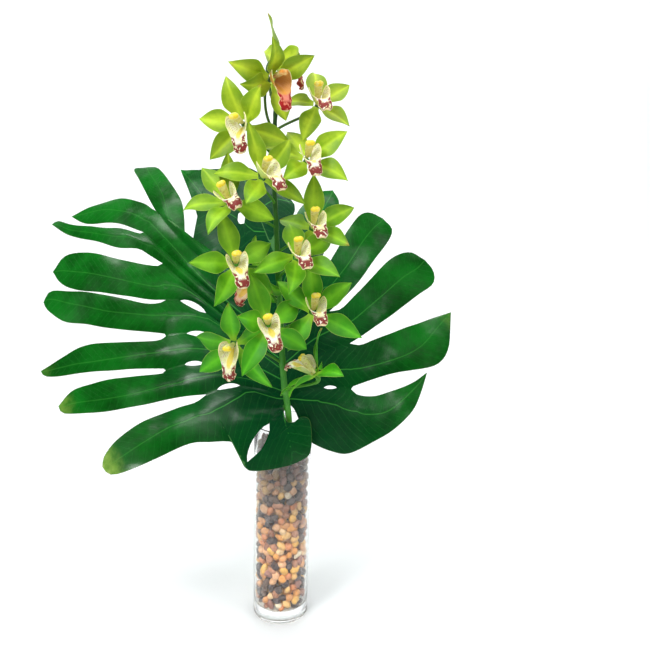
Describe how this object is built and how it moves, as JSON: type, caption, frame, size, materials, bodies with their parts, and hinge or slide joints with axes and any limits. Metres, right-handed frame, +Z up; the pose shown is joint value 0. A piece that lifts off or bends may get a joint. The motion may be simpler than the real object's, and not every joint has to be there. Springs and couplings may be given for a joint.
{
  "type": "monstera leaf",
  "caption": "Monstera leaf with deep slits and holes standing behind a spike of green cymbidium orchids in a clear glass cylinder vase of river gravel.",
  "frame": {"origin": "middle of the vase's flat underside, on the surface the vase stands on", "axes": "+Z up along the vase's axis; the flowers and the leaf's upper face look towards -Y; +X is to the viewer's right"},
  "size_m": [0.6169, 0.4105, 0.817],
  "materials": {
    "clear_glass": "clear, polished, faintly grey-green at its thick base",
    "river_gravel": "mixed rounded river pebbles, wet, tan to dark grey",
    "leaf_green": "glossy deep green leaf with pale fine veins and browned edges",
    "stalk_green": "smooth waxy green stalk",
    "tepal_green": "satin lime-green petal with fine lengthwise veins",
    "lip_cream": "satin cream lip with dark red spots",
    "column_yellow": "waxy yellow-green column with a yellow cap"
  },
  "bodies": {
    "root": {"vase": "clear_glass", "pebble_bed": "river_gravel", "monstera_blade": "leaf_green", "monstera_petiole": "stalk_green", "orchid_stem": "stalk_green", "flower_01_tepals": "tepal_green", "flower_01_lip": "lip_cream", "flower_01_column": "column_yellow", "flower_02_tepals": "tepal_green", "flower_02_lip": "lip_cream", "flower_02_column": "column_yellow", "flower_03_tepals": "tepal_green", "flower_03_lip": "lip_cream", "flower_03_column": "column_yellow", "flower_04_tepals": "tepal_green", "flower_04_lip": "lip_cream", "flower_04_column": "column_yellow", "flower_05_tepals": "tepal_green", "flower_05_lip": "lip_cream", "flower_05_column": "column_yellow", "flower_06_tepals": "tepal_green", "flower_06_lip": "lip_cream", "flower_06_column": "column_yellow", "flower_07_tepals": "tepal_green", "flower_07_lip": "lip_cream", "flower_07_column": "column_yellow", "flower_08_tepals": "tepal_green", "flower_08_lip": "lip_cream", "flower_08_column": "column_yellow", "flower_09_tepals": "tepal_green", "flower_09_lip": "lip_cream", "flower_09_column": "column_yellow", "flower_10_tepals": "tepal_green", "flower_10_lip": "lip_cream", "flower_10_column": "column_yellow", "flower_11_tepals": "tepal_green", "flower_11_lip": "lip_cream", "flower_11_column": "column_yellow", "flower_12_tepals": "tepal_green", "flower_12_lip": "lip_cream", "flower_12_column": "column_yellow", "flower_13_tepals": "tepal_green", "flower_13_lip": "lip_cream", "flower_13_column": "column_yellow", "flower_14_tepals": "tepal_green", "flower_14_lip": "lip_cream", "flower_14_column": "column_yellow", "flower_15_tepals": "tepal_green", "flower_15_lip": "lip_cream", "flower_15_column": "column_yellow"}
  },
  "joints": []
}
